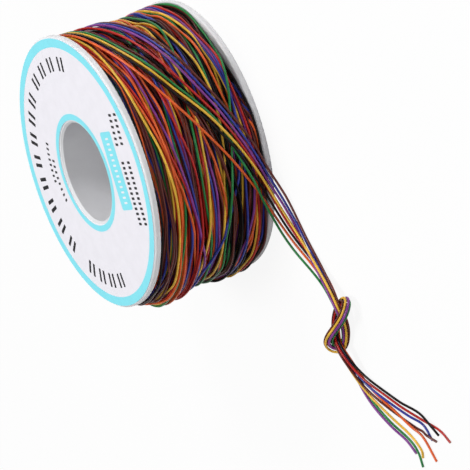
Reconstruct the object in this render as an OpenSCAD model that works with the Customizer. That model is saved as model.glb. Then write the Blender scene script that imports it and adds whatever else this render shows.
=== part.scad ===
// Spool of hookup wire: a moulded reel with two flanges, its round label, the winding, and eight loose wire
// ends that come off the winding side by side, share one overhand knot and fan out to their cut ends.
// Millimetres, +Z up. The spool stands on its plain flange, with the bore on the Z axis and the label on top.

/* [Spool] */
// Diameter of both flanges
flange_d = 70; // [60:0.5:80]
// Height over both flanges
spool_h = 33.5; // [30:0.5:45]
// Thickness of each flange
flange_t = 1.6; // [1.5:0.1:3]
// Radius of the rounded edges of the flange rims
rim_round = 0.5; // [0.2:0.1:0.7]
// Diameter of the bore
bore_d = 25.4; // [20:0.1:30]
// Wall of the core between the bore and the winding
core_wall = 1.8; // [1.2:0.1:3]
// Lead-in bevel at both ends of the bore
bore_bevel = 0.5; // [0.2:0.1:1]

/* [Label] */
// Bare margin between the label and the flange's edge
label_margin = 0.5; // [0.3:0.1:3]
// Bare margin between the label and the bore
label_inset = 0.9; // [0.6:0.1:3]
// Thickness of the label
label_t = 0.2; // [0.1:0.05:0.4]

/* [Wire] */
// Diameter of the wire over its insulation
wire_d = 0.6; // [0.5:0.02:0.62]
// How far the full winding's crests stand out past the flanges' edges
winding_over = 0.4; // [0:0.1:0.8]
// How far the low turns lie under the high ones
winding_wave = 0.5; // [0:0.05:0.8]
// Number of turns in one lay of the winding, from crest to crest
lay_turns = 8; // [5:1:12]

/* [Hidden] */
$fn = 96;

flange_r = flange_d / 2;
bore_r = bore_d / 2;
core_r = bore_r + core_wall;
winding_r = flange_r + winding_over;
winding_h = spool_h - 2 * flange_t;
turns = floor(winding_h / wire_d);
turn_pitch = winding_h / turns;

// Loose wires: sides of a tube, and the room between a wire and what it lies on
tube_sides = 8;
wire_room = 0.15;
lie = wire_d / 2 + wire_room;

// Order of the wires in the lists below
BLACK = 0;
BROWN = 1;
RED = 2;
ORANGE = 3;
YELLOW = 4;
GREEN = 5;
BLUE = 6;
VIOLET = 7;
wire_colours = ["#16120f", "#5a2a1c", "#b8261c", "#dd6a2c", "#e6b53a", "#2a7d45", "#2c3a94", "#85409a"];

// Last lay of each wire over the winding and down past the lower flange's rim: angle, height over the floor,
// and how far the wire stands off, where it crosses another one or leaves the winding
wraps = [
    [[155, 29.5, 0], [130, 29, 0], [105, 26.7, 0], [80, 21, 0], [60, 13.8, 0], [46, 9.2, 0.8], [37, 6.5, 0.2],
     [25, 3.3, 0.8]],
    [[155, 19.5, 0], [130, 18.8, 0], [105, 15.8, 0], [80, 12.2, 0], [60, 7.6, 0], [48, 4.6, 0], [37, 2.5, 0.6]],
    [[155, 24.5, 0], [130, 23.5, 0], [105, 20.5, 0], [80, 16.4, 0], [60, 10.8, 0], [44, 6.5, 0], [35, 4.5, 0],
     [26, 2.4, 0.3]],
    [[155, 30.5, 0], [130, 30, 0], [105, 28, 0], [80, 23.1, 0], [60, 16.9, 0], [44, 11.1, 0], [32, 6.9, 0],
     [21, 3.3, 0.6]],
    [[155, 28.5, 0], [130, 28, 0], [105, 25.7, 0], [80, 19.9, 0], [62, 13.4, 0.3], [51, 9.8, 0.8], [40, 6.2, 0.5],
     [29, 3.2, 1.3]],
    [[155, 27.5, 0], [130, 27, 0], [105, 24.7, 0], [80, 18.8, 0], [60, 12, 0], [45, 9.2, 0], [33, 6.5, 0.7],
     [23, 4.5, 1.2]],
    [[155, 20.5, 0], [130, 19.8, 0], [105, 16.8, 0], [80, 13.2, 0], [60, 8.6, 0], [46, 5.2, 0], [34, 2.6, 0.6]],
    [[155, 21.5, 0], [130, 20.8, 0], [105, 17.8, 0], [80, 14.2, 0], [60, 9.6, 0], [44, 5.7, 0], [31, 2.7, 0.6]]
];

// Way along the floor, up to the knot. Here and in the knot and fans, X starts at the flange's edge.
runs = [
    [[7, 9.5, 0.6], [11, 9.8, 0.4], [16.5, 10.6, 0.4], [22, 12, 0.6]],
    [[4.5, 17.8, 0.6], [10.5, 15, 0.4], [16.5, 13.6, 0.4], [22, 13.8, 0.9]],
    [[6.5, 11, 0.6], [11, 10.9, 0.4], [16.5, 11.5, 0.4], [22, 12.8, 0.4]],
    [[7.5, 8, 0.6], [11.5, 8.3, 0.4], [16.5, 9.6, 0.5], [22, 11.5, 1.3]],
    [[6, 13.5, 1.2], [11, 13.6, 1.2], [16.5, 13.6, 1.6], [22, 13.4, 2]],
    [[8.5, 6, 0.8], [12.5, 6.4, 0.4], [17, 7.7, 0.6], [22, 10.9, 2.1]],
    [[5, 15.8, 0.6], [10.5, 14, 0.4], [16.5, 12.7, 0.4], [22, 12.8, 1.2]],
    [[5.5, 14.4, 0.6], [10.5, 12.8, 0.4], [16.5, 12, 1.1], [22, 12.4, 2]]
];

// Middle of the bundle through the overhand knot
knot = [
    [22, 12, 1.2], [26.5, 12.5, 1.7], [31.5, 14.2, 3.4], [34.5, 12, 2.6], [36.5, 8.5, 1.4], [37.5, 4.5, 1.2],
    [37.5, -0.5, 1.2], [36, -4, 2.2], [34, -3, 4.1], [34.2, 1.5, 4.7], [35.5, 7, 4.6], [37, 13, 4.4],
    [37.5, 17.5, 3.8], [36, 19, 2.2], [33.5, 17, 1.2], [31.5, 12, 1.2], [31, 7.5, 1.2], [31.5, 4, 1.2],
    [33.5, 1.5, 1.6], [36.5, 2, 3.3], [39.5, 2.5, 3.4], [41.5, 1.5, 2.6], [43.5, 0, 1.6]
];

// Place of each wire round the bundle in sevenths of a turn, and how far out; the blue one runs in the middle
bundle_places = [5, 0, 6, 4, 1, 3, 0, 2];
bundle_spread = [1, 1, 1, 1, 1, 1, 0, 1];
bundle_start = -26;
bundle_r = wire_d * 1.34;

// Way from the knot to the cut end
fans = [
    [[46.5, 0, 0.6], [51, 2.5, 0.4], [59.5, 7, 0.4], [67, 12, 0.4], [73, 14.5, 1.1], [75.5, 14, 0.5]],
    [[46.5, -1.5, 1.9], [50.5, -2, 0.5], [57, 1, 0.4], [67, 6.5, 0.4], [70, 8.5, 0.4], [72.5, 10.5, 1.2],
     [75.5, 11.5, 0.5]],
    [[46.5, -0.5, 1.4], [51, 1.5, 0.5], [60, 6, 0.4], [68, 11, 0.4], [75, 15.5, 0.4], [79.5, 16.5, 0.4]],
    [[46.5, -1.5, 0.5], [50.5, -1, 0.4], [57, 2, 0.4], [66.5, 6.5, 1.2], [71, 7.5, 0.6], [77.5, 6, 0.4]],
    [[46.5, -2.5, 1.8], [50.5, -3, 0.5], [58.5, -0.5, 0.4], [66.5, 2.5, 0.4], [71.5, 3, 0.4], [73, 1.5, 0.4]],
    [[46.5, -3, 0.6], [50.5, -4.2, 0.4], [59, -2, 0.4], [67, 1, 0.4], [71, 1, 0.4], [74, -1, 0.4]],
    [[46.5, -1.5, 1.2], [51, 0, 0.5], [57, 3, 0.4], [64, 7, 0.4], [69.5, 10.5, 0.4], [74, 10, 0.4]],
    [[46, -3.5, 1], [50.5, -5.2, 0.5], [59.5, -3, 0.4], [66, -0.5, 0.4], [70.5, 0, 0.4]]
];

function unit(v) = v / norm(v);
function across(v, t) = unit(v - (v * t) * t);

// Point on the smooth curve between b and c, with a and d as their neighbours
function curve_point(a, b, c, d, t) =
    0.5 * (2 * b + (c - a) * t + (2 * a - 5 * b + 4 * c - d) * t * t + (3 * b - a - 3 * c + d) * t * t * t);

// Points along a smooth curve; the first and last points of the list only steer it
function curve(list, steps) = [
    for (i = [1:len(list) - 2], j = [0:i < len(list) - 2 ? steps - 1 : 0])
        i < len(list) - 2
            ? curve_point(list[i - 1], list[i], list[i + 1], list[i + 2], j / steps)
            : list[i]
];

function before(list) = [2 * list[0] - list[1]];
function after(list) = [2 * list[len(list) - 1] - list[len(list) - 2]];
function part_of(list, first, last) = [for (i = [first:last]) list[i]];
function rest_of(list) = part_of(list, 1, len(list) - 1);

// Direction of travel at each point of a path, and a side direction carried along it without twist
function directions(path) = [
    for (i = [0:len(path) - 1]) unit(path[min(i + 1, len(path) - 1)] - path[max(i - 1, 0)])
];
function carried(way, i, side) =
    i == len(way) ? [] : let (next = across(side, way[i])) concat([next], carried(way, i + 1, next));

// Points beside the spool, counted from the flange's edge
function beside(list) = [for (p = list) p + [flange_r, 0, 0]];

// A wire's lay on the winding, turned from angle and height into points
function wrap_path(k) = [
    for (p = curve(concat(before(wraps[k]), wraps[k], after(wraps[k])), 3))
        let (r = winding_r + lie + p[2]) [r * cos(p[0]), r * sin(p[0]), p[1]]
];

// The bundle's middle line from the knot's second point on, with its directions
knot_curve = beside(curve(concat(before(knot), knot, after(knot)), 2));
bundle_line = part_of(knot_curve, 2, len(knot_curve) - 1);
bundle_way = directions(bundle_line);
bundle_side = carried(bundle_way, 0, [0, 0, 1]);

// A wire's own line inside the bundle
function bundle_path(k) = [
    for (i = [0:len(bundle_line) - 1])
        let (
            angle = bundle_start + 360 / 7 * bundle_places[k],
            side = bundle_side[i],
            level = cross(side, bundle_way[i])
        )
        bundle_line[i] + bundle_r * bundle_spread[k] * (cos(angle) * level + sin(angle) * side)
];

// Whole line of a loose wire, from where it comes out of the winding to its cut end
function wire_path(k) =
    let (
        lay = wrap_path(k),
        bound = bundle_path(k),
        lay_end = part_of(lay, len(lay) - 2, len(lay) - 1),
        run = curve(concat(lay_end, beside(runs[k]), part_of(bound, 0, 1)), 2),
        bound_end = part_of(bound, len(bound) - 2, len(bound) - 1),
        fan = curve(concat(bound_end, beside(fans[k]), beside(after(fans[k]))), 2)
    )
    concat(lay, rest_of(run), rest_of(bound), rest_of(fan));

function tube_points(path, r, n) =
    let (way = directions(path), side = carried(way, 0, [0, 0, 1]))
    [
        for (i = [0:len(path) - 1], j = [0:n - 1])
            path[i] + r * (cos(360 / n * j) * side[i] + sin(360 / n * j) * cross(way[i], side[i]))
    ];

function tube_faces(rings, n) = concat(
    [[for (j = [0:n - 1]) n - 1 - j]],
    [for (i = [0:rings - 2], j = [0:n - 1]) [i * n + j, i * n + (j + 1) % n, (i + 1) * n + (j + 1) % n]],
    [for (i = [0:rings - 2], j = [0:n - 1]) [i * n + j, (i + 1) * n + (j + 1) % n, (i + 1) * n + j]],
    [[for (j = [0:n - 1]) (rings - 1) * n + j]]
);

module loose_wire(k) {
    path = wire_path(k);
    color(wire_colours[k])
        polyhedron(
            points = tube_points(path, wire_d / 2, tube_sides),
            faces = tube_faces(len(path), tube_sides),
            convexity = 10
        );
}

// Half section of one flange, with both edges of its rim rounded
module flange_section() {
    square([flange_r - rim_round, flange_t]);
    translate([0, rim_round]) square([flange_r, flange_t - 2 * rim_round]);
    for (z = [rim_round, flange_t - rim_round])
        translate([flange_r - rim_round, z]) circle(rim_round);
}

// Half section of the bore with its lead-in bevel at both ends
module bore_section() {
    polygon([
        [-1, -1],
        [bore_r + bore_bevel + 1, -1],
        [bore_r, bore_bevel],
        [bore_r, spool_h - bore_bevel],
        [bore_r + bore_bevel + 1, spool_h + 1],
        [-1, spool_h + 1]
    ]);
}

module spool() {
    color("whitesmoke")
        rotate_extrude()
            difference() {
                union() {
                    flange_section();
                    translate([0, spool_h - flange_t]) flange_section();
                    square([core_r, spool_h]);
                }
                bore_section();
            }
}

module label() {
    color("paleturquoise")
        translate([0, 0, spool_h])
            difference() {
                cylinder(r = flange_r - label_margin, h = label_t);
                translate([0, 0, -1]) cylinder(r = bore_r + label_inset, h = label_t + 2);
            }
}

// How far a turn lies under the winding's crests: each lay of the wires rises to a crest and falls again
function turn_drop(i) = winding_wave * (1 - cos(360 * i / lay_turns)) / 2;
function turn_r(i) = winding_r - turn_pitch / 2 - turn_drop(i);

// Outline of one turn's outer side, and of the groove before it
function turn_outline(i) = [
    for (angle = [-54, -18, 18, 54])
        [turn_r(i) + turn_pitch / 2 * cos(angle), turn_pitch * (i + 0.5 + sin(angle) / 2)]
];
function groove(i) = [(turn_r(max(i - 1, 0)) + turn_r(min(i, turns - 1))) / 2, turn_pitch * i];

module winding() {
    turn_outlines = [for (i = [0:turns - 1]) each concat([groove(i)], turn_outline(i))];
    core_side = [[core_r, winding_h], [core_r, 0]];
    color("dimgray")
        translate([0, 0, flange_t])
            rotate_extrude()
                polygon(concat(turn_outlines, [groove(turns)], core_side));
}

module tail_black() {
    loose_wire(BLACK);
}

module tail_brown() {
    loose_wire(BROWN);
}

module tail_red() {
    loose_wire(RED);
}

module tail_orange() {
    loose_wire(ORANGE);
}

module tail_yellow() {
    loose_wire(YELLOW);
}

module tail_green() {
    loose_wire(GREEN);
}

module tail_blue() {
    loose_wire(BLUE);
}

module tail_violet() {
    loose_wire(VIOLET);
}

spool();
label();
winding();
tail_black();
tail_brown();
tail_red();
tail_orange();
tail_yellow();
tail_green();
tail_blue();
tail_violet();
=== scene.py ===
# Looks of the wire spool: laid strands, loose wires, printed label, stage, lights and camera.
# Lists of points and sizes are in millimetres and are turned into metres where a mesh or curve is made.
import math

import bpy
import numpy as np
from mathutils import Matrix, Vector


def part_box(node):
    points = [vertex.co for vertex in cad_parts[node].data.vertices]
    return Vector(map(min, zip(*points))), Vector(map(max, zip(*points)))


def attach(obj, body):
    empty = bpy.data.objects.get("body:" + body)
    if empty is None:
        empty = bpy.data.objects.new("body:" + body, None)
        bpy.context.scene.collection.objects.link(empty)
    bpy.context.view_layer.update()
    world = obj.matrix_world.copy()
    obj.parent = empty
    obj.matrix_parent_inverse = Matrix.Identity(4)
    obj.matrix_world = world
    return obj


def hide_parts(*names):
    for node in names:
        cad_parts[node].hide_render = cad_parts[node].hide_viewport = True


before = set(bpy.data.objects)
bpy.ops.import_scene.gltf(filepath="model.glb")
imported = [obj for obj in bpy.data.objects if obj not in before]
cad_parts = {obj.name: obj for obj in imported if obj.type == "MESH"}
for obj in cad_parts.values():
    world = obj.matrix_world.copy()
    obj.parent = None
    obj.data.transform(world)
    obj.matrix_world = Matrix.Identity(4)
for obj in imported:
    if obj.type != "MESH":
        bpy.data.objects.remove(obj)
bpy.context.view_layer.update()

MM = 0.001

# Sizes that the frame gives
FLANGE_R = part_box("spool")[1][0] / MM
LABEL_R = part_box("label")[1][0] / MM
LABEL_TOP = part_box("label")[1][2] / MM
WINDING_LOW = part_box("winding")[0][2] / MM
WINDING_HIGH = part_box("winding")[1][2] / MM
WINDING_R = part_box("winding")[1][0] / MM
# Sizes that it doesn't give: the winding's inner radius, the label's hole and the wire over its insulation
CORE_R = 14.5
LABEL_HOLE_R = 13.6
WIRE_D = 0.6
# Room between the solid winding and the wires that are laid on it
WIRE_ROOM = 0.15
LIE = WIRE_D / 2 + WIRE_ROOM

# Insulation colours as they look in daylight
WIRES = ["black", "brown", "red", "orange", "yellow", "green", "blue", "violet"]
WIRE_COLOURS = {
    "black": (19, 13, 15),
    "brown": (98, 37, 29),
    "red": (188, 32, 25),
    "orange": (232, 98, 36),
    "yellow": (240, 190, 62),
    "green": (34, 132, 66),
    "blue": (46, 58, 158),
    "violet": (138, 62, 152),
}

# How strongly the insulation reflects: the black wire looks nearly flat in the photograph
WIRE_SHEEN = 0.42
BLACK_SHEEN = 0.2
# How much darker and lighter its blotches are, and how rough it is in them
BLOTCH_DARK = 0.78
BLOTCH_LIGHT = 1.12
WIRE_GLOSSY = 0.26
WIRE_DULL = 0.42

# Colours of the other materials, from darkest to lightest where they vary
# Inner turns: near-black painted shade for the gaps between the laid wires, in place of the eight wire
# colours that they have
CORE_PAINTED_SHADE_DARK = (14, 8, 9)
CORE_PAINTED_SHADE_PALE = (44, 20, 20)
SPOOL_DARK = (226, 226, 229)
SPOOL_LIGHT = (236, 236, 238)
METAL_DARK = (190, 150, 120)
METAL_LIGHT = (226, 205, 190)
PAPER = (246, 244, 251)
CYAN = (141, 238, 252)
INK = (28, 28, 32)
DASH_WHITE = (250, 250, 252)
# Least share of its colour that paper has, and how rough the spool's plastic is
PAPER_MOTTLE = 0.96
SPOOL_GLOSSY = 0.36
SPOOL_DULL = 0.5

# Last lay of each wire over the winding and down past the lower flange's rim: angle, height over the floor,
# and how far the wire stands off, where it crosses another one or leaves the winding
WRAPS = {
    "black": [(155, 29.5, 0), (130, 29, 0), (105, 26.7, 0), (80, 21, 0), (60, 13.8, 0), (46, 9.2, 0.8),
              (37, 6.5, 0.2), (25, 3.3, 0.8)],
    "brown": [(155, 19.5, 0), (130, 18.8, 0), (105, 15.8, 0), (80, 12.2, 0), (60, 7.6, 0), (48, 4.6, 0),
              (37, 2.5, 0.6)],
    "red": [(155, 24.5, 0), (130, 23.5, 0), (105, 20.5, 0), (80, 16.4, 0), (60, 10.8, 0), (44, 6.5, 0),
            (35, 4.5, 0), (26, 2.4, 0.3)],
    "orange": [(155, 30.5, 0), (130, 30, 0), (105, 28, 0), (80, 23.1, 0), (60, 16.9, 0), (44, 11.1, 0),
               (32, 6.9, 0), (21, 3.3, 0.6)],
    "yellow": [(155, 28.5, 0), (130, 28, 0), (105, 25.7, 0), (80, 19.9, 0), (62, 13.4, 0.3), (51, 9.8, 0.8),
               (40, 6.2, 0.5), (29, 3.2, 1.3)],
    "green": [(155, 27.5, 0), (130, 27, 0), (105, 24.7, 0), (80, 18.8, 0), (60, 12, 0), (45, 9.2, 0),
              (33, 6.5, 0.7), (23, 4.5, 1.2)],
    "blue": [(155, 20.5, 0), (130, 19.8, 0), (105, 16.8, 0), (80, 13.2, 0), (60, 8.6, 0), (46, 5.2, 0),
             (34, 2.6, 0.6)],
    "violet": [(155, 21.5, 0), (130, 20.8, 0), (105, 17.8, 0), (80, 14.2, 0), (60, 9.6, 0), (44, 5.7, 0),
               (31, 2.7, 0.6)],
}

# Way along the floor, up to the knot. Here and in the knot and fans, X starts at the flange's edge.
RUNS = {
    "black": [(7, 9.5, 0.6), (11, 9.8, 0.4), (16.5, 10.6, 0.4), (22, 12, 0.6)],
    "brown": [(4.5, 17.8, 0.6), (10.5, 15, 0.4), (16.5, 13.6, 0.4), (22, 13.8, 0.9)],
    "red": [(6.5, 11, 0.6), (11, 10.9, 0.4), (16.5, 11.5, 0.4), (22, 12.8, 0.4)],
    "orange": [(7.5, 8, 0.6), (11.5, 8.3, 0.4), (16.5, 9.6, 0.5), (22, 11.5, 1.3)],
    "yellow": [(6, 13.5, 1.2), (11, 13.6, 1.2), (16.5, 13.6, 1.6), (22, 13.4, 2)],
    "green": [(8.5, 6, 0.8), (12.5, 6.4, 0.4), (17, 7.7, 0.6), (22, 10.9, 2.1)],
    "blue": [(5, 15.8, 0.6), (10.5, 14, 0.4), (16.5, 12.7, 0.4), (22, 12.8, 1.2)],
    "violet": [(5.5, 14.4, 0.6), (10.5, 12.8, 0.4), (16.5, 12, 1.1), (22, 12.4, 2)],
}

# Middle of the bundle through the overhand knot
KNOT = [
    (22, 12, 1.2), (26.5, 12.5, 1.7), (31.5, 14.2, 3.4), (34.5, 12, 2.6), (36.5, 8.5, 1.4),
    (37.5, 4.5, 1.2), (37.5, -0.5, 1.2), (36, -4, 2.2), (34, -3, 4.1), (34.2, 1.5, 4.7), (35.5, 7, 4.6),
    (37, 13, 4.4), (37.5, 17.5, 3.8), (36, 19, 2.2), (33.5, 17, 1.2), (31.5, 12, 1.2), (31, 7.5, 1.2),
    (31.5, 4, 1.2), (33.5, 1.5, 1.6), (36.5, 2, 3.3), (39.5, 2.5, 3.4), (41.5, 1.5, 2.6), (43.5, 0, 1.6),
]

# Bundle in the knot: a ring of seven wires with the blue one in the middle, the place of each in the
# ring, the angle of the first place in degrees, and the ring's radius
RING_WIRES = 7
BUNDLE_PLACES = {"brown": 0, "yellow": 1, "violet": 2, "green": 3, "orange": 4, "black": 5, "red": 6,
                 "blue": None}
BUNDLE_START = -26
BUNDLE_R = WIRE_D * 1.34

# Steps between two points of a loose wire's line, and of the lines that steer its next stretch
CURVE_STEPS = 6
LAY_STEER_STEPS = 3
KNOT_STEER_STEPS = 2

# How the knot is drawn tight: spacing of the points, rounds, pull in a round, and points that the pull
# spans on each side
DRAW_STEP = 0.4
DRAW_ROUNDS = 160
DRAW_PULL = 0.022
DRAW_SPAN = 4
# How far before and after the knot the wires give way, and over how many points that sets in
DRAW_BEFORE = 28
DRAW_AFTER = 20
DRAW_EASE = 8
# How far apart wires lie that touch, how hard they push, how often in a round, and room over the floor
DRAW_APART = WIRE_D * 1.06
PART_PUSH = 1.4
PART_STEPS = 3
FLOOR_ROOM = 0.02
# Rounds at the end in which the wires only part, rounds from one search for near wires to the next, and
# rounds from one even spacing of the points to the next
PART_ROUNDS = 50
SEARCH_ROUNDS = 5
SPACING_ROUNDS = 10
# In wire widths: how near points are that a search finds, and how far along a wire neighbours reach
SEARCH_REACH = 1.5
NEIGHBOUR_REACH = 3

# Way from the knot to the cut end
FANS = {
    "black": [(46.5, 0, 0.6), (51, 2.5, 0.4), (59.5, 7, 0.4), (67, 12, 0.4), (73, 14.5, 1.1),
              (75.5, 14, 0.5)],
    "brown": [(46.5, -1.5, 1.9), (50.5, -2, 0.5), (57, 1, 0.4), (67, 6.5, 0.4), (70, 8.5, 0.4),
              (72.5, 10.5, 1.2), (75.5, 11.5, 0.5)],
    "red": [(46.5, -0.5, 1.4), (51, 1.5, 0.5), (60, 6, 0.4), (68, 11, 0.4), (75, 15.5, 0.4),
            (79.5, 16.5, 0.4)],
    "orange": [(46.5, -1.5, 0.5), (50.5, -1, 0.4), (57, 2, 0.4), (66.5, 6.5, 1.2), (71, 7.5, 0.6),
               (77.5, 6, 0.4)],
    "yellow": [(46.5, -2.5, 1.8), (50.5, -3, 0.5), (58.5, -0.5, 0.4), (66.5, 2.5, 0.4), (71.5, 3, 0.4),
               (73, 1.5, 0.4)],
    "green": [(46.5, -3, 0.6), (50.5, -4.2, 0.4), (59, -2, 0.4), (67, 1, 0.4), (71, 1, 0.4), (74, -1, 0.4)],
    "blue": [(46.5, -1.5, 1.2), (51, 0, 0.5), (57, 3, 0.4), (64, 7, 0.4), (69.5, 10.5, 0.4), (74, 10, 0.4)],
    "violet": [(46, -3.5, 1), (50.5, -5.2, 0.5), (59.5, -3, 0.4), (66, -0.5, 0.4), (70.5, 0, 0.4)],
}

# Rounding of a loose wire's curve, then radius and height of each row of its conductor, and its sides
CORD_ROUNDING = 3
CONDUCTOR_ROWS = [(0.13, -0.1), (0.13, 0.03), (0.09, 0.06), (0.04, 0.07)]
CONDUCTOR_SIDES = 12

# Turns that lie on top of the winding: colour, then angle and height of the points that they pass
TOP_TURNS = [
    ("yellow", [(145, 6), (115, 5.5), (95, 4.5), (80, 4), (50, 4), (15, 3.5), (-10, 3.5), (-100, 6)]),
    ("yellow", [(130, 11), (110, 10), (90, 9), (70, 8.5), (50, 10), (30, 12.5), (5, 13.5), (-15, 13),
                (-90, 12)]),
    ("green", [(125, 9.5), (110, 10), (95, 12), (80, 14), (55, 18), (25, 18), (-10, 15), (-90, 12)]),
    ("orange", [(135, 11.5), (115, 13.5), (95, 15.5), (80, 17), (50, 14), (20, 12), (-30, 11), (-100, 12)]),
    ("yellow", [(140, 13), (80, 14), (55, 15.5), (35, 16.5), (20, 17.5), (5, 18), (-30, 17), (-100, 15)]),
    ("green", [(150, 18), (115, 19.5), (90, 20), (60, 22), (20, 24), (-20, 25), (-100, 21)]),
    ("blue", [(145, 19.5), (120, 17.5), (100, 19), (80, 21.5), (45, 21), (25, 21), (5, 19), (-20, 18),
              (-100, 20)]),
    ("orange", [(140, 30), (110, 30), (80, 28), (55, 26), (40, 24), (20, 22), (5, 21), (-10, 19),
                (-90, 24)]),
    ("red", [(140, 29), (110, 29.5), (80, 27), (55, 25), (40, 23), (20, 20.5), (-10, 20), (-90, 23)]),
    ("violet", [(140, 26), (80, 25), (40, 22.5), (25, 21.5), (5, 18.5), (-20, 15.5), (-90, 20)]),
    ("yellow", [(140, 29), (80, 29), (50, 26.5), (30, 25.5), (10, 26), (-20, 26), (-90, 28)]),
    ("orange", [(140, 28), (80, 26), (50, 25.5), (30, 24.5), (10, 25), (-20, 25.5), (-90, 27)]),
    ("blue", [(140, 4), (60, 4), (35, 8), (15, 12), (0, 15.5), (-20, 18), (-90, 12)]),
    ("violet", [(140, 5), (60, 3), (20, 4.5), (0, 7), (-30, 8), (-90, 7)]),
    ("orange", [(140, 7), (60, 6), (35, 3), (10, 4.5), (-15, 7), (-40, 8), (-90, 9)]),
    ("red", [(140, 22), (70, 21.5), (45, 19), (25, 19), (0, 20), (-90, 21)]),
    ("blue", [(140, 4), (90, 3), (75, 3.5), (55, 5.5), (30, 7), (-30, 6), (-90, 4)]),
    ("brown", [(170, 26), (145, 26), (120, 25), (95, 22), (60, 14), (20, 9), (-40, 10), (-120, 22)]),
    ("brown", [(170, 24), (145, 24.5), (120, 23.5), (95, 20), (60, 13), (20, 10), (-40, 9), (-120, 20)]),
    ("black", [(170, 22), (145, 23), (120, 22), (95, 19), (60, 12), (20, 8), (-40, 8), (-120, 18)]),
    ("red", [(140, 3.5), (85, 3), (50, 3), (10, 3), (-30, 3.5), (-90, 4)]),
    ("green", [(150, 2.5), (125, 0.9), (100, 1), (85, 2), (70, 4), (55, 7.5), (35, 10.5), (20, 12),
               (-20, 11), (-90, 7)]),
]

# Added to the heights of the top turns
TOP_SHIFT = 1

# How the winding is wound: ribbons of eight wires and the places tried for each, then the single turns
# laid after each ribbon and the places tried for them, two in three of these within reach of a flange
SEED = 7
RIBBONS = 17
RIBBON_TRIES = 14
FILLERS = 6
FILLER_TRIES = 60
EDGE_REACH = 2.5
# Share of each colour in the order of WIRES: the dark wires are laid more often, partly for the many brown
# and black strands and partly as painted shade, dark wires where bright ones would lie in shade
COLOUR_SHARES_WITH_PAINTED_SHADE = [0.17, 0.27, 0.22, 0.1, 0.07, 0.06, 0.06, 0.05]
# Pitch of the wires in a ribbon, and sizes of the waves round a turn: of a ribbon, its pitch, its single
# wires and the turns laid after it. A wave gets a random share of its size, from the least share up.
RIBBON_PITCH = 0.72
RIBBON_WAVES = (4, 2.5, 1.2, 0.5)
PITCH_WAVES = (0.16, 0.12, 0.1)
WIRE_WAVES = (0.15, 0.2, 0.2, 0.15, 0.12)
FILLER_WAVES = (0.9, 0.6, 0.3, 0.2)
LEAST_SHARE = 0.3
# Samples in a turn, step of the grid that records the surface, and sides of a turn's tube
TURN_SAMPLES = 180
SURFACE_STEP = 0.1
TUBE_SIDES = 8
# Rounds in which a taut wire rises over hollows, then rounds of easing: its level, a turn that comes back
# at a flange, and the course of a top turn
BRIDGE_ROUNDS = 60
LEVEL_EASE = 4
FLANGE_EASE = 6
TOP_EASE = 40
# How far off the highest turn still sets the winding's outside: samples along a turn, and cells across it
CREST_SAMPLES = 4
CREST_CELLS = 8

# Loose turns bulge out at one side, in two rolls: angle, reach and size, what the upper roll adds and over
# what height, and how far from the lower and the upper flange they are full
BULGE_ANGLE = -42
BULGE_REACH = 62
BULGE_SIZE = 1
UPPER_BULGE = 1.2
UPPER_GROWTH = 4
BULGE_EDGE = 3.4
UPPER_EDGE = 6.5
# Saddle between the rolls: height of its middle, width, and share of the bulge that it takes away
SADDLE_HEIGHT = 16.8
SADDLE_WIDTH = 3
SADDLE_SHARE = 0.7
# Beside the upper flange the turns lie lower than its rim: how much, and how far from the flange
EDGE_DROP = 1
EDGE_WIDTH = 2.2
# Where the loose wires come up, the winding lies lower: middle, reach and depth, with half the depth up
# to the low height and all of it from the full height up
DENT_ANGLE = 158
DENT_REACH = 72
DENT_DEPTH = 1.8
DENT_LOW = 4
DENT_FULL = 16
# There they press the turns under them flat: middle, reach, and share of the hollows lost
PRESS_ANGLE = 152
PRESS_REACH = 24
PRESS_SHARE = 0.85
# How a loose wire sinks into the winding before it comes up: how far round, samples, share of the way to
# the middle height, depth, and the power by which the depth grows
LEAD_TURN = 150
LEAD_SAMPLES = 90
LEAD_DRIFT = 0.5
LEAD_DEPTH = 2.6
LEAD_POWER = 1.5
# Inner turns as one ring: rows in a wire's width, samples round it, ripple, and room under the turns
CORE_ROWS = 4
CORE_SAMPLES = 160
CORE_RIPPLE = 0.15
CORE_ROOM = 0.1

# Printed marks on the label: first angle, step and count of each group of large marks round the rim
LARGE_MARKS = [(171, -13, 4), (271, -12.1, 8), (326, -11.2, 4)]
LARGE_MARK_R = 28
# Angle from the middle of a pair of large marks to each of the two
LARGE_MARK_SIDE = 2.2
# Small marks: rows on an arc (radius, first and last angle), and straight rows (two ends)
SMALL_ARCS = [(20.4, 207, 235), (18.2, 219, 252)]
SMALL_ROWS = [((5.2, 27.9), (10.4, 22.7)), ((7, 30.2), (12.2, 25.1)), ((14.2, 20), (26, 10.2)),
              ((16.3, 22.6), (28, 12.5))]
# Pitch of the small marks on an arc and in a straight row
ARC_PITCH = 1.35
ROW_PITCH = 1.25
# Length and width of the marks: large, on an arc, in a straight row and on the patch, and their corners
LARGE_MARK_SIZE = (3.7, 0.95)
ARC_MARK_SIZE = (1.3, 0.6)
ROW_MARK_SIZE = (1.5, 0.65)
PATCH_MARK_SIZE = (1.7, 0.5)
MARK_CORNER = 0.1
CORNER_STEPS = 4
# Coloured patch: middle, length, width, corner and turn, then pitch of its dashes and room at its ends
PATCH_MIDDLE = (12.3, 14.8)
PATCH_LENGTH = 19.8
PATCH_WIDTH = 6.2
PATCH_CORNER = 0.7
PATCH_TURN = -38
PATCH_PITCH = 1.35
PATCH_ROOM = 3
# Coloured rings: inner radius at the rim, outer radius at the hole, margin, and samples
RIM_RING_R = 32.2
HOLE_RING_R = 15.2
RING_MARGIN = 0.02
RING_SAMPLES = 180
# Height of the print over the paper, and of the white dashes that lie on the patch
PRINT_LIFT = 0.02
DASH_LIFT = 0.03

# Where the camera stood: angles in degrees, and its offsets and distance from the spool's foot
VIEW_AZIMUTH = 148
VIEW_ELEVATION = 24.34
VIEW_ROLL = 109.2
VIEW_OFFSET = (-7.97, 25.42)
VIEW_DISTANCE = 881.35
# The photograph's focal length and width in pixels, and the sensor that stands for its width
PICTURE_FOCAL = 3515
PICTURE_SIZE = 470
SENSOR = 36
CLIP_END = 20

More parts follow.
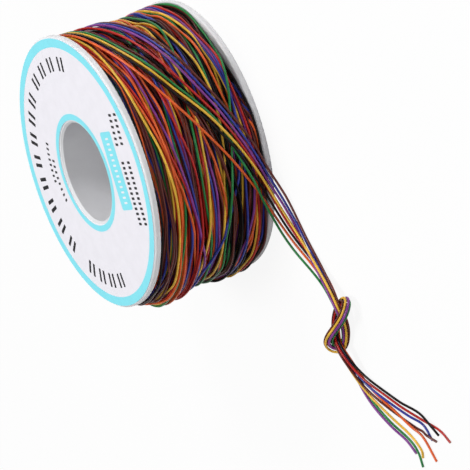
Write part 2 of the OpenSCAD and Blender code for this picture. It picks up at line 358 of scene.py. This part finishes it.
# Lamps, in metres and watts: place, width and power, and where they all point
LAMPS = {
    "overhead": ((-0.2, 0.1, 1.2), 0.6, 9.4),
    "side": ((-0.9, 0.9, 0.7), 0.5, 6.4),
    "front": ((0.7, 0.6, 0.5), 0.6, 1.5),
}
LAMP_AIM = (0.02, 0, 0.015)
WORLD_STRENGTH = 0.2
# Floor: half its width and its height in metres, its grey, and the share of white that the camera sees
FLOOR_HALF = 3.0
FLOOR_HEIGHT = -0.00005
FLOOR_GREY = 0.9
FLOOR_GLOW = 0.9


def linear(rgb):
    """sRGB colour of 0 to 255 as linear RGBA."""
    values = []
    for c in rgb:
        c = c / 255
        values.append(c / 12.92 if c <= 0.04045 else ((c + 0.055) / 1.055) ** 2.4)
    return (*values, 1)


def new_material(name, rough):
    material = bpy.data.materials.new(name)
    material.use_nodes = True
    nodes = material.node_tree.nodes
    shader = nodes["Principled BSDF"]
    shader.inputs["Roughness"].default_value = rough
    return material, nodes, material.node_tree.links, shader


def add_noise(nodes, links, scale, detail=2.0):
    """Noise in the object's own coordinates; scale is in waves a metre."""
    place = nodes.new("ShaderNodeTexCoord")
    noise = nodes.new("ShaderNodeTexNoise")
    noise.inputs["Scale"].default_value = scale
    noise.inputs["Detail"].default_value = detail
    links.new(place.outputs["Object"], noise.inputs["Vector"])
    return noise


def add_ramp(nodes, links, source, low, high, low_at=0.3, high_at=0.7):
    ramp = nodes.new("ShaderNodeValToRGB")
    ramp.color_ramp.elements[0].position = low_at
    ramp.color_ramp.elements[0].color = low
    ramp.color_ramp.elements[1].position = high_at
    ramp.color_ramp.elements[1].color = high
    links.new(source, ramp.inputs["Fac"])
    return ramp


def add_bump(nodes, links, source, shader, strength, distance):
    bump = nodes.new("ShaderNodeBump")
    bump.inputs["Strength"].default_value = strength
    bump.inputs["Distance"].default_value = distance
    links.new(source, bump.inputs["Height"])
    links.new(bump.outputs["Normal"], shader.inputs["Normal"])


def scaled(rgba, factor):
    return (rgba[0] * factor, rgba[1] * factor, rgba[2] * factor, 1)


def grey(value):
    return (value, value, value, 1)


def insulation_material(name):
    """Glossy coloured insulation with faint blotches in colour and gloss."""
    material, nodes, links, shader = new_material("insulation_" + name, rough=0.3)
    colour = linear(WIRE_COLOURS[name])
    blotches = add_noise(nodes, links, scale=260)
    dark = scaled(colour, BLOTCH_DARK)
    tint = add_ramp(nodes, links, blotches.outputs["Fac"], dark, scaled(colour, BLOTCH_LIGHT))
    links.new(tint.outputs["Color"], shader.inputs["Base Color"])
    shader.inputs["Specular IOR Level"].default_value = BLACK_SHEEN if name == "black" else WIRE_SHEEN
    gloss = add_ramp(nodes, links, blotches.outputs["Fac"], grey(WIRE_GLOSSY), grey(WIRE_DULL))
    links.new(gloss.outputs["Color"], shader.inputs["Roughness"])
    grain = add_noise(nodes, links, scale=5200)
    add_bump(nodes, links, grain.outputs["Fac"], shader, strength=0.08, distance=0.00004)
    return material


def painted_shade_core_material():
    """Painted shade: the inner turns coloured near-black for the shade that shows through the gaps."""
    material, nodes, links, shader = new_material("inner_turns_painted_shade", rough=0.6)
    noise = add_noise(nodes, links, scale=700)
    tint = add_ramp(nodes, links, noise.outputs["Fac"], linear(CORE_PAINTED_SHADE_DARK), linear(CORE_PAINTED_SHADE_PALE))
    links.new(tint.outputs["Color"], shader.inputs["Base Color"])
    return material


def spool_material():
    """White moulded plastic, slightly uneven in gloss."""
    material, nodes, links, shader = new_material("white_plastic", rough=0.4)
    noise = add_noise(nodes, links, scale=90, detail=4)
    tint = add_ramp(nodes, links, noise.outputs["Fac"], linear(SPOOL_DARK), linear(SPOOL_LIGHT))
    links.new(tint.outputs["Color"], shader.inputs["Base Color"])
    gloss = add_ramp(nodes, links, noise.outputs["Fac"], grey(SPOOL_GLOSSY), grey(SPOOL_DULL))
    links.new(gloss.outputs["Color"], shader.inputs["Roughness"])
    grain = add_noise(nodes, links, scale=2600, detail=3)
    add_bump(nodes, links, grain.outputs["Fac"], shader, strength=0.06, distance=0.00005)
    return material


def paper_material(name, rgb):
    """Smooth printed paper with a faint mottle."""
    material, nodes, links, shader = new_material(name, rough=0.5)
    colour = linear(rgb)
    noise = add_noise(nodes, links, scale=400, detail=3)
    tint = add_ramp(nodes, links, noise.outputs["Fac"], scaled(colour, PAPER_MOTTLE), colour)
    links.new(tint.outputs["Color"], shader.inputs["Base Color"])
    fibre = add_noise(nodes, links, scale=3500, detail=2)
    add_bump(nodes, links, fibre.outputs["Fac"], shader, strength=0.04, distance=0.00003)
    return material


def metal_material():
    """Tinned copper of the cut conductors."""
    material, nodes, links, shader = new_material("tinned_copper", rough=0.3)
    shader.inputs["Metallic"].default_value = 1
    noise = add_noise(nodes, links, scale=9000)
    tint = add_ramp(nodes, links, noise.outputs["Fac"], linear(METAL_DARK), linear(METAL_LIGHT))
    links.new(tint.outputs["Color"], shader.inputs["Base Color"])
    return material


def curve_points(points, steps):
    """Points along a smooth curve; the first and last points of the list only steer it."""
    p = np.array(points, float)
    t = np.arange(steps)[:, None] / steps
    spans = []
    for a, b, c, d in zip(p, p[1:], p[2:], p[3:]):
        spans.append(0.5 * (2 * b + (c - a) * t + (2 * a - 5 * b + 4 * c - d) * t ** 2
                            + (3 * b - a - 3 * c + d) * t ** 3))
    return np.vstack(spans + [p[-2:-1]])


def steered(points, before=True):
    """The list with a reflected point added after it, and before it where it has an open start."""
    p = [np.array(q, float) for q in points]
    first = [2 * p[0] - p[1]] if before else []
    return first + p + [2 * p[-1] - p[-2]]


def directions(path):
    """Unit steps along a line, at each of its points."""
    ahead = np.vstack([path[1:], path[-1:]])
    behind = np.vstack([path[:1], path[:-1]])
    step = ahead - behind
    return step / np.linalg.norm(step, axis=1)[:, None]


def beside(points):
    """Points beside the spool, counted from the flange's edge."""
    return [np.array(p, float) + (FLANGE_R, 0, 0) for p in points]


def hump(degrees, middle, reach):
    """One at the middle angle, falling to nothing at the reach on both sides."""
    away = (degrees - middle + 180) % 360 - 180
    return np.maximum(0, np.cos(np.radians(np.clip(away / reach, -1, 1) * 90)))


def dent(degrees, heights):
    """How much lower the winding lies where the loose wires come up."""
    share = np.clip((heights - DENT_LOW) / (DENT_FULL - DENT_LOW), 0, 1)
    return DENT_DEPTH * hump(degrees, DENT_ANGLE, DENT_REACH) * (1 + share) / 2


def lay_path(name, steps):
    """A loose wire's line over the winding, down past the lower rim."""
    course = curve_points(steered(WRAPS[name]), steps)
    r = WINDING_R + LIE + course[:, 2] - dent(course[:, 0], course[:, 1])
    angle = np.radians(course[:, 0])
    return np.stack([r * np.cos(angle), r * np.sin(angle), course[:, 1]], 1)


def bundle_path(name, steps):
    """The wire's own line inside the bundle, carried along without twist."""
    line = curve_points(steered(beside(KNOT)), steps)[steps:]
    place = BUNDLE_PLACES[name]
    if place is None:
        return line
    angle = math.radians(BUNDLE_START + 360 / RING_WIRES * place)
    side = np.array([0, 0, 1.0])
    path = []
    for point, way in zip(line, directions(line)):
        side = side - (side @ way) * way
        side /= np.linalg.norm(side)
        level = np.cross(side, way)
        path.append(point + BUNDLE_R * (math.cos(angle) * level + math.sin(angle) * side))
    return np.array(path)


def wire_path(name):
    """Whole line of a loose wire, from the winding to its cut end, with the knot still open."""
    lay = lay_path(name, CURVE_STEPS)
    lay_end = lay_path(name, LAY_STEER_STEPS)[-2:]
    bound = bundle_path(name, CURVE_STEPS)
    bound_steer = bundle_path(name, KNOT_STEER_STEPS)
    run = curve_points([*lay_end, *beside(RUNS[name]), *bound_steer[:2]], CURVE_STEPS)
    fan = curve_points([*bound_steer[-2:], *steered(beside(FANS[name]), before=False)], CURVE_STEPS)
    return np.vstack([lay, run[1:], bound[1:], fan[1:]])


def lengths_along(path):
    """Length of a line from its start to each of its points."""
    return np.concatenate([[0], np.cumsum(np.linalg.norm(np.diff(path, axis=0), axis=1))])


def spaced(path, count):
    """The same line with evenly spaced points."""
    along = lengths_along(path)
    places = np.linspace(0, along[-1], count)
    return np.stack([np.interp(places, along, path[:, i]) for i in range(3)], 1)


def near_pairs(points, wire, place):
    """Pairs of points that may touch: near each other, and not neighbours on one wire."""
    gaps = np.linalg.norm(points[:, None] - points[None], axis=2)
    beyond = NEIGHBOUR_REACH * WIRE_D / DRAW_STEP
    same = (wire[:, None] == wire[None]) & (abs(place[:, None] - place[None]) < beyond)
    return np.nonzero(np.triu((gaps < SEARCH_REACH * WIRE_D) & ~same))


def part(points, pairs, free):
    """Moves points that overlap away from each other, and up from the floor."""
    a, b = pairs
    gap = points[a] - points[b]
    far = np.linalg.norm(gap, axis=1)
    push = gap / far[:, None] * np.maximum(0, DRAW_APART - far)[:, None] / 2
    move = np.zeros_like(points)
    np.add.at(move, a, push)
    np.add.at(move, b, -push)
    touches = np.zeros(len(points))
    np.add.at(touches, a, far < DRAW_APART)
    np.add.at(touches, b, far < DRAW_APART)
    points = points + PART_PUSH * free * move / np.maximum(1, touches)[:, None]
    points[:, 2] = np.maximum(points[:, 2], WIRE_D / 2 + FLOOR_ROOM)
    return points


def draw_tight(lines):
    """Pulls the knot's wires straighter a little at a time, while those that touch push each other away."""
    lines = [spaced(line, int(lengths_along(line)[-1] / DRAW_STEP)) for line in lines]
    counts = [len(line) for line in lines]
    wire = np.repeat(np.arange(len(lines)), counts)
    place = np.concatenate([np.arange(count) for count in counts])
    last = np.repeat(counts, counts) - 1
    free = np.clip((np.minimum(place, last - place) - DRAW_SPAN) / DRAW_EASE, 0, 1)[:, None]
    points = np.vstack(lines)
    index = np.arange(len(points))
    before = index - np.minimum(DRAW_SPAN, place)
    after = index + np.minimum(DRAW_SPAN, last - place)
    for turn in range(DRAW_ROUNDS + PART_ROUNDS):
        if turn % SEARCH_ROUNDS == 0:
            pairs = near_pairs(points, wire, place)
        if turn < DRAW_ROUNDS:
            points = points + DRAW_PULL * free * (points[before] + points[after] - 2 * points)
        for _ in range(PART_STEPS):
            points = part(points, pairs, free)
        if (turn + 1) % SPACING_ROUNDS == 0 and turn < DRAW_ROUNDS:
            points = np.vstack([spaced(points[wire == i], count) for i, count in enumerate(counts)])
    return [points[wire == i] for i in range(len(lines))]


def wire_paths():
    """Lines of all the loose wires, with the knot drawn tight."""
    heads = []
    knots = []
    ends = []
    for name in WIRES:
        path = wire_path(name)
        along = lengths_along(path)
        bound = bundle_path(name, CURVE_STEPS)
        first = along[np.linalg.norm(path - bound[0], axis=1).argmin()] - DRAW_BEFORE
        last = along[np.linalg.norm(path - bound[-1], axis=1).argmin()] + DRAW_AFTER
        heads.append(path[along < first])
        knots.append(path[(along >= first) & (along <= last)])
        ends.append(path[along > last])
    return {name: np.vstack(parts) for name, *parts in zip(WIRES, heads, draw_tight(knots), ends)}


def ride_new(obj):
    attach(obj, "root")
    return obj


def mesh_object(name, verts, faces, material, smooth=True):
    mesh = bpy.data.meshes.new(name)
    mesh.from_pydata([tuple(v) for v in np.asarray(verts) * MM], [], faces)
    mesh.materials.append(material)
    mesh.polygons.foreach_set("use_smooth", [smooth] * len(mesh.polygons))
    mesh.update()
    obj = bpy.data.objects.new(name, mesh)
    bpy.context.collection.objects.link(obj)
    return obj


def add_cord(name, path, material, metal):
    """A loose wire as one round curve, with the bare conductor showing in its flush cut."""
    data = bpy.data.curves.new("wire_" + name, "CURVE")
    data.dimensions = "3D"
    data.bevel_depth = WIRE_D / 2 * MM
    data.bevel_resolution = CORD_ROUNDING
    data.use_fill_caps = True
    spline = data.splines.new("POLY")
    spline.points.add(len(path) - 1)
    spline.points.foreach_set("co", np.hstack([path * MM, np.ones((len(path), 1))]).ravel())
    data.materials.append(material)
    cord = bpy.data.objects.new("wire_" + name, data)
    bpy.context.collection.objects.link(cord)
    ride_new(cord)
    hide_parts("tail_" + name)
    conductor = add_conductor("conductor_" + name, path[-1], path[-1] - path[-2], metal)
    ride_new(conductor)


def add_conductor(name, end, way, material):
    """Domed tip of the bare conductor, just proud of the cut insulation."""
    way = Vector(way).normalized()
    turn = way.to_track_quat("Z", "Y").to_matrix()
    sides = CONDUCTOR_SIDES
    verts = []
    for r, z in CONDUCTOR_ROWS:
        for j in range(sides):
            angle = 2 * math.pi * j / sides
            verts.append(Vector(end) + turn @ Vector((r * math.cos(angle), r * math.sin(angle), z)))
    faces = []
    last = (len(CONDUCTOR_ROWS) - 1) * sides
    for a in range(0, last, sides):
        for j in range(sides):
            k = (j + 1) % sides
            faces.append((a + j, a + k, a + sides + k, a + sides + j))
    faces.append(tuple(range(sides - 1, -1, -1)))
    faces.append(tuple(last + j for j in range(sides)))
    return mesh_object(name, verts, faces, material)


class Surface:
    """Height of the wound surface over its base, on a grid of angle and width, as wires are laid on it."""

    def __init__(self):
        self.cells = int(round((WINDING_HIGH - WINDING_LOW) / SURFACE_STEP)) + 1
        self.height = np.zeros((TURN_SAMPLES, self.cells))
        reach = int(WIRE_D / 2 / SURFACE_STEP)
        self.offsets = np.arange(-reach, reach + 1)
        self.round = np.sqrt(np.maximum(0, (WIRE_D / 2) ** 2 - (self.offsets * SURFACE_STEP) ** 2))

    def cells_at(self, heights):
        middle = np.round((heights - WINDING_LOW) / SURFACE_STEP).astype(int)
        return np.clip(middle[:, None] + self.offsets, 0, self.cells - 1)

    def bed(self, heights):
        """How high the middle of a wire would lie along a closed turn, resting on what is there."""
        cells = self.cells_at(heights)
        return (self.height[np.arange(TURN_SAMPLES)[:, None], cells] + self.round).max(1)

    def lay(self, heights):
        """Lays one closed turn that bridges hollows as a taut wire does, and gives its middle's height."""
        level = self.bed(heights)
        sag = WINDING_R * (1 - math.cos(2 * math.pi / TURN_SAMPLES))
        for _ in range(BRIDGE_ROUNDS):
            level = np.maximum(level, (np.roll(level, 1) + np.roll(level, -1)) / 2 - sag)
        level = eased(level, LEVEL_EASE)
        top = level[:, None] + self.round
        np.maximum.at(self.height, (np.arange(TURN_SAMPLES)[:, None], self.cells_at(heights)), top)
        return level


def eased(values, rounds):
    """A closed row of values with its corners rounded off."""
    for _ in range(rounds):
        values = (np.roll(values, 1) + 2 * values + np.roll(values, -1)) / 4
    return values


def kept_inside(heights):
    """Heights that run past an end turn back inside, as a traverse does at a flange."""
    low = WINDING_LOW + WIRE_D / 2
    span = WINDING_HIGH - WINDING_LOW - WIRE_D
    x = np.mod(heights - low, 2 * span)
    return eased(low + np.where(x > span, 2 * span - x, x), FLANGE_EASE)


def ring_wave(rng, sizes):
    """A slow wander round one turn: one sine for each size, with one, two, three waves and so on."""
    angle = 2 * math.pi * np.arange(TURN_SAMPLES) / TURN_SAMPLES
    total = np.zeros(TURN_SAMPLES)
    for i, size in enumerate(sizes):
        total += size * rng.uniform(LEAST_SHARE, 1) * np.sin((i + 1) * angle + rng.uniform(0, 2 * math.pi))
    return total


def ribbon_turns(rng, surface):
    """One ribbon of eight wires side by side, put where the winding is lowest so far."""
    best = None
    for _ in range(RIBBON_TRIES):
        middle = rng.uniform(WINDING_LOW, WINDING_HIGH) + ring_wave(rng, RIBBON_WAVES)
        gap = RIBBON_PITCH + ring_wave(rng, PITCH_WAVES)
        turns = []
        for place, name in enumerate(rng.choice(WIRES, len(WIRES), p=COLOUR_SHARES_WITH_PAINTED_SHADE)):
            own = ring_wave(rng, WIRE_WAVES)
            turns.append((name, kept_inside(middle + (place - (len(WIRES) - 1) / 2) * gap + own)))
        rough = np.mean([surface.bed(z) ** 2 for _, z in turns])
        if best is None or rough < best[0]:
            best = (rough, turns)
    return best[1]


def filler_turn(rng, surface):
    """One turn that falls into the lowest place left, nearly level as a wire beside a flange is."""
    best = None
    for i in range(FILLER_TRIES):
        low = WINDING_LOW + WIRE_D / 2
        high = WINDING_HIGH - WIRE_D / 2
        middle = rng.uniform(low, high)
        if i % 3 == 1:
            middle = rng.uniform(low, low + EDGE_REACH)
        if i % 3 == 2:
            middle = rng.uniform(high - EDGE_REACH, high)
        heights = np.clip(middle + ring_wave(rng, FILLER_WAVES), low, high)
        level = surface.bed(heights).mean()
        if best is None or level < best[0]:
            best = (level, heights)
    return rng.choice(WIRES, p=COLOUR_SHARES_WITH_PAINTED_SHADE), best[1]


def top_course(points):
    """Height all round one turn through the given points, rounded off between them."""
    angles = np.arange(TURN_SAMPLES) * 360 / TURN_SAMPLES
    given = sorted((a % 360, z + TOP_SHIFT) for a, z in points)
    z = np.interp(angles, [a for a, _ in given], [z for _, z in given], period=360)
    return np.clip(eased(z, TOP_EASE), WINDING_LOW + WIRE_D / 2, WINDING_HIGH - WIRE_D / 2)


def tube_mesh(angle, radius, heights, closed):
    """Vertices and faces of a round wire along a course round the spool."""
    line = np.stack([radius * np.cos(angle), radius * np.sin(angle), heights], 1)
    way = np.roll(line, -1, 0) - np.roll(line, 1, 0) if closed else directions(line)
    way = way / np.linalg.norm(way, axis=1)[:, None]
    out = np.stack([np.cos(angle), np.sin(angle), np.zeros_like(angle)], 1)
    out = out - (out * way).sum(1)[:, None] * way
    out /= np.linalg.norm(out, axis=1)[:, None]
    side = np.cross(way, out)
    ring = 2 * math.pi * np.arange(TUBE_SIDES) / TUBE_SIDES
    verts = line[:, None] + WIRE_D / 2 * (np.cos(ring)[None, :, None] * out[:, None]
                                          + np.sin(ring)[None, :, None] * side[:, None])
    count = len(line)
    faces = []
    for i in range(count if closed else count - 1):
        a = i * TUBE_SIDES
        b = (i + 1) % count * TUBE_SIDES
        for j in range(TUBE_SIDES):
            k = (j + 1) % TUBE_SIDES
            faces.append((a + j, a + k, b + k, b + j))
    if not closed:
        faces.append(tuple(range(TUBE_SIDES - 1, -1, -1)))
        faces.append(tuple((count - 1) * TUBE_SIDES + j for j in range(TUBE_SIDES)))
    return verts.reshape(-1, 3), faces


def spread(field, reach, cells):
    """Highest value near each place of the field, then evened out over half as far."""
    for step in range(1, reach + 1):
        field = np.maximum(field, np.maximum(np.roll(field, step, 0), np.roll(field, -step, 0)))
    padded = np.pad(field, ((0, 0), (cells, cells)), mode="edge")
    field = np.max([padded[:, i:i + field.shape[1]] for i in range(2 * cells + 1)], axis=0)
    half = cells // 2
    padded = np.pad(field, ((0, 0), (half, half)), mode="edge")
    field = np.mean([padded[:, i:i + field.shape[1]] for i in range(2 * half + 1)], axis=0)
    return np.mean([np.roll(field, i, 0) for i in range(-(reach // 2), reach // 2 + 1)], axis=0)


def wound_radius(angle, heights):
    """Radius that the outermost turns reach."""
    degrees = np.degrees(angle)
    bulge = hump(degrees, BULGE_ANGLE, BULGE_REACH) ** 2
    saddle = 1 - SADDLE_SHARE * np.exp(-((heights - SADDLE_HEIGHT) / SADDLE_WIDTH) ** 2)
    low = np.clip((heights - WINDING_LOW) / BULGE_EDGE, 0, 1)
    high = np.clip((WINDING_HIGH - heights) / UPPER_EDGE, 0, 1)
    edge = low * (2 - low) * high * high * (3 - 2 * high)
    size = BULGE_SIZE + UPPER_BULGE * np.clip((heights - SADDLE_HEIGHT) / UPPER_GROWTH, 0, 1)
    rise = size * bulge * saddle * edge
    drop = EDGE_DROP * (1 - np.clip((WINDING_HIGH - heights) / EDGE_WIDTH, 0, 1)) ** 2
    return WINDING_R + WIRE_ROOM + rise - drop - dent(degrees, heights)


def lay_winding(rng):
    """Winds ribbon over ribbon, then the top turns; gives the colour, radius and height of every turn."""
    surface = Surface()
    laid = []
    for _ in range(RIBBONS):
        for name, heights in ribbon_turns(rng, surface):
            laid.append((name, surface.lay(heights), heights))
        for _ in range(FILLERS):
            name, heights = filler_turn(rng, surface)
            laid.append((name, surface.lay(heights), heights))
    for name, points in TOP_TURNS:
        heights = top_course(points)
        laid.append((name, surface.lay(heights), heights))
    crest = spread(surface.height, CREST_SAMPLES, CREST_CELLS)
    index = np.arange(TURN_SAMPLES)
    angle = index * 2 * math.pi / TURN_SAMPLES
    pressed = 1 - PRESS_SHARE * hump(np.degrees(angle), PRESS_ANGLE, PRESS_REACH)
    turns = []
    for name, level, heights in laid:
        cell = np.clip(np.round((heights - WINDING_LOW) / SURFACE_STEP).astype(int), 0, surface.cells - 1)
        depth = (crest[index, cell] - level - WIRE_D / 2) * pressed
        turns.append((name, wound_radius(angle, heights) - WIRE_D / 2 - depth, heights))
    return turns, WINDING_R - crest.max()


def lead_in(name):
    """Where a loose wire comes up out of the winding: part of a turn that sinks under the other turns."""
    first = WRAPS[name][0]
    along = np.linspace(0, 1, LEAD_SAMPLES)
    angle = np.radians(first[0] + LEAD_TURN * along)
    height = first[1] + (WINDING_HIGH / 2 - first[1]) * LEAD_DRIFT * along * along
    radius = WINDING_R + LIE - LEAD_DEPTH * along ** LEAD_POWER - dent(np.degrees(angle), height)
    return angle, radius, height


def add_winding(materials):
    """All the turns of one colour as one piece, and the inner turns under them."""
    turns, base = lay_winding(np.random.default_rng(SEED))
    ring = np.arange(TURN_SAMPLES) * 2 * math.pi / TURN_SAMPLES
    for name in WIRES:
        meshes = [tube_mesh(*lead_in(name), False)]
        for colour, radius, heights in turns:
            if colour == name:
                meshes.append(tube_mesh(ring, radius, heights, True))
        verts = []
        faces = []
        for v, f in meshes:
            faces += [tuple(i + len(verts) for i in face) for face in f]
            verts += list(v)
        ride_new(mesh_object("turns_" + name, verts, faces, materials[name]))
    core = add_core(base)
    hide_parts("winding")


def add_core(base):
    """The inner turns as one rippled ring under the laid wires, with the near-black painted shade of the
    gaps.
    """
    rows = int((WINDING_HIGH - WINDING_LOW) / WIRE_D * CORE_ROWS)
    around = CORE_SAMPLES
    verts = []
    for i in range(rows + 1):
        z = WINDING_LOW + (WINDING_HIGH - WINDING_LOW) * i / rows
        ripple = CORE_RIPPLE * abs(math.sin(math.pi * (z - WINDING_LOW) / WIRE_D))
        for j in range(around):
            angle = 2 * math.pi * j / around
            r = base - CORE_ROOM + ripple
            verts.append((r * math.cos(angle), r * math.sin(angle), z))
    for z in (WINDING_HIGH, WINDING_LOW):
        for j in range(around):
            angle = 2 * math.pi * j / around
            verts.append((CORE_R * math.cos(angle), CORE_R * math.sin(angle), z))
    faces = []
    for i in range(rows + 3):
        a = i * around
        b = (i + 1) % (rows + 3) * around
        for j in range(around):
            k = (j + 1) % around
            faces.append((a + j, a + k, b + k, b + j))
    return ride_new(mesh_object("inner_turns_painted_shade", verts, faces, painted_shade_core_material()))


def dress_node(node, material):
    """Gives a node of the frame its material."""
    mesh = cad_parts[node].data
    mesh.materials.clear()
    mesh.materials.append(material)


def print_shapes(name, shapes, material, lift=PRINT_LIFT):
    """Flat printed shapes just over the label, each a list of x and y."""
    verts = []
    faces = []
    for shape in shapes:
        faces.append(tuple(range(len(verts), len(verts) + len(shape))))
        verts += [(x, y, LABEL_TOP + lift) for x, y in shape]
    ride_new(mesh_object(name, verts, faces, material, smooth=False))


def on_circle(radius, angle):
    return radius * math.cos(math.radians(angle)), radius * math.sin(math.radians(angle))


def ring_shapes(inner, outer):
    """A flat ring as a row of four-sided shapes."""
    shapes = []
    for j in range(RING_SAMPLES):
        a = 360 * j / RING_SAMPLES
        b = 360 * (j + 1) / RING_SAMPLES
        shapes.append([on_circle(inner, a), on_circle(outer, a), on_circle(outer, b), on_circle(inner, b)])
    return shapes


def bar_shape(centre, size, turn, corner=MARK_CORNER):
    """A flat bar with rounded corners, its length turned by an angle in degrees."""
    length, width = size
    points = []
    for x, y, first in ((1, 1, 0), (-1, 1, 90), (-1, -1, 180), (1, -1, 270)):
        for j in range(CORNER_STEPS + 1):
            angle = math.radians(first + 90 / CORNER_STEPS * j)
            points.append((x * (length / 2 - corner) + corner * math.cos(angle),
                           y * (width / 2 - corner) + corner * math.sin(angle)))
    c = math.cos(math.radians(turn))
    s = math.sin(math.radians(turn))
    return [(centre[0] + c * x - s * y, centre[1] + s * x + c * y) for x, y in points]


def large_marks():
    """Pairs of upright bars round the rim, one pair for each large letter of the real print."""
    marks = []
    for first, step, count in LARGE_MARKS:
        for i in range(count):
            for side in (-LARGE_MARK_SIDE, LARGE_MARK_SIDE):
                angle = first + step * i + side
                marks.append(bar_shape(on_circle(LARGE_MARK_R, angle), LARGE_MARK_SIZE, angle))
    return marks


def small_marks():
    """Rows of short dashes in place of the small print."""
    marks = []
    for radius, first, last in SMALL_ARCS:
        count = int(radius * math.radians(last - first) / ARC_PITCH)
        for i in range(count + 1):
            angle = first + (last - first) * i / count
            marks.append(bar_shape(on_circle(radius, angle), ARC_MARK_SIZE, angle))
    for (x0, y0), (x1, y1) in SMALL_ROWS:
        count = int(math.hypot(x1 - x0, y1 - y0) / ROW_PITCH)
        turn = math.degrees(math.atan2(y1 - y0, x1 - x0)) + 90
        for i in range(count + 1):
            t = i / count
            middle = (x0 + (x1 - x0) * t, y0 + (y1 - y0) * t)
            marks.append(bar_shape(middle, ROW_MARK_SIZE, turn))
    return marks


def patch_marks():
    """A row of short white dashes along the coloured patch."""
    along = on_circle(1, PATCH_TURN)
    count = int((PATCH_LENGTH - PATCH_ROOM) / PATCH_PITCH / 2)
    marks = []
    for i in range(-count, count + 1):
        x = PATCH_MIDDLE[0] + along[0] * PATCH_PITCH * i
        y = PATCH_MIDDLE[1] + along[1] * PATCH_PITCH * i
        marks.append(bar_shape((x, y), PATCH_MARK_SIZE, PATCH_TURN + 90))
    return marks


def add_label():
    """The label's paper, and the print on it: coloured rings and patch, dark marks and white dashes."""
    cyan = paper_material("label_cyan", CYAN)
    ink = paper_material("label_ink", INK)
    dress_node("label", paper_material("label_paper", PAPER))
    rim_ring = ring_shapes(RIM_RING_R, LABEL_R - RING_MARGIN)
    hole_ring = ring_shapes(LABEL_HOLE_R + RING_MARGIN, HOLE_RING_R)
    patch = bar_shape(PATCH_MIDDLE, (PATCH_LENGTH, PATCH_WIDTH), PATCH_TURN, PATCH_CORNER)
    print_shapes("label_colour", rim_ring + hole_ring + [patch], cyan)
    print_shapes("label_marks", large_marks() + small_marks(), ink)
    print_shapes("label_patch_marks", patch_marks(), paper_material("label_white", DASH_WHITE), DASH_LIFT)


def add_stage():
    """White floor that keeps a faint shadow, and a white world."""
    mesh = bpy.data.meshes.new("floor")
    corners = [(-1, -1), (1, -1), (1, 1), (-1, 1)]
    verts = [(x * FLOOR_HALF, y * FLOOR_HALF, FLOOR_HEIGHT) for x, y in corners]
    mesh.from_pydata(verts, [], [(0, 1, 2, 3)])
    floor = bpy.data.objects.new("floor", mesh)
    bpy.context.collection.objects.link(floor)
    material, nodes, links, shader = new_material("floor_white", rough=0.9)
    shader.inputs["Base Color"].default_value = grey(FLOOR_GREY)
    shader.inputs["Specular IOR Level"].default_value = 0
    glow = nodes.new("ShaderNodeEmission")
    mix = nodes.new("ShaderNodeMixShader")
    rays = nodes.new("ShaderNodeLightPath")
    share = nodes.new("ShaderNodeMath")
    share.operation = "MULTIPLY"
    share.inputs[1].default_value = FLOOR_GLOW
    links.new(rays.outputs["Is Camera Ray"], share.inputs[0])
    links.new(share.outputs["Value"], mix.inputs["Fac"])
    links.new(shader.outputs["BSDF"], mix.inputs[1])
    links.new(glow.outputs["Emission"], mix.inputs[2])
    links.new(mix.outputs["Shader"], nodes["Material Output"].inputs["Surface"])
    mesh.materials.append(material)

    world = bpy.data.worlds.new("studio")
    bpy.context.scene.world = world
    world.use_nodes = True
    background = world.node_tree.nodes["Background"]
    background.inputs["Color"].default_value = grey(1)
    background.inputs["Strength"].default_value = WORLD_STRENGTH


def add_lamp(name, place, size, power):
    data = bpy.data.lights.new(name, "AREA")
    data.shape = "DISK"
    data.size = size
    data.energy = power
    lamp = bpy.data.objects.new(name, data)
    lamp.location = place
    lamp.rotation_euler = (Vector(LAMP_AIM) - Vector(place)).to_track_quat("-Z", "Y").to_euler()
    bpy.context.collection.objects.link(lamp)


def add_camera():
    """Camera where the photograph was taken, rolled because the spool stands upright in this frame."""
    azimuth = math.radians(VIEW_AZIMUTH)
    elevation = math.radians(VIEW_ELEVATION)
    roll = math.radians(VIEW_ROLL)
    back = Vector((math.sin(azimuth) * math.cos(elevation), -math.cos(azimuth) * math.cos(elevation),
                   math.sin(elevation)))
    level = Vector((math.cos(azimuth), math.sin(azimuth), 0))
    upright = back.cross(level)
    right = math.cos(roll) * level - math.sin(roll) * upright
    up = math.sin(roll) * level + math.cos(roll) * upright
    place = (back * VIEW_DISTANCE - right * VIEW_OFFSET[0] - up * VIEW_OFFSET[1]) * MM
    data = bpy.data.cameras.new("camera")
    data.sensor_width = SENSOR
    data.lens = PICTURE_FOCAL / PICTURE_SIZE * SENSOR
    data.clip_end = CLIP_END
    camera = bpy.data.objects.new("camera", data)
    camera.matrix_world = Matrix((right, up, back)).transposed().to_4x4()
    camera.location = place
    bpy.context.collection.objects.link(camera)
    bpy.context.scene.camera = camera


add_camera()
add_stage()
for name, lamp in LAMPS.items():
    add_lamp(name, *lamp)

insulation = {name: insulation_material(name) for name in WIRES}
metal = metal_material()
for name, path in wire_paths().items():
    add_cord(name, path, insulation[name], metal)
add_winding(insulation)
dress_node("spool", spool_material())
add_label()

bpy.context.scene.view_settings.view_transform = "Standard"
